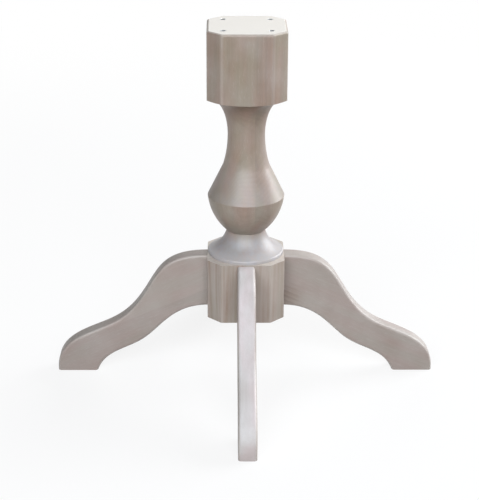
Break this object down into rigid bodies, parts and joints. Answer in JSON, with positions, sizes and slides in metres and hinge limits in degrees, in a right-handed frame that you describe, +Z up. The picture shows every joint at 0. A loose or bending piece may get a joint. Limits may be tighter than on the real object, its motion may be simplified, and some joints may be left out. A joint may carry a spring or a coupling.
{
  "type": "pedestal table base",
  "caption": "Free-standing wooden pedestal for a table top: turned octagonal column on splayed S-shaped legs, in a washed grey finish.",
  "frame": {"origin": "on the floor under the column's axis", "axes": "+Z up along the column's axis, one leg along each of -Y (front), +X (right), +Y (back) and -X (left)"},
  "size_m": [0.7664, 0.7664, 0.7186],
  "materials": {
    "washed_wood": "grey-taupe stain with a thin white wash, satin, worn pale on the edges",
    "zinc_steel": "zinc plated, dull bright"
  },
  "bodies": {
    "root": {"column": "washed_wood", "leg_front": "washed_wood", "leg_right": "washed_wood", "leg_back": "washed_wood", "leg_left": "washed_wood", "hanger_bolts": "zinc_steel", "flat_washers": "zinc_steel", "hex_nuts": "zinc_steel", "top_inserts": "zinc_steel"}
  },
  "joints": []
}
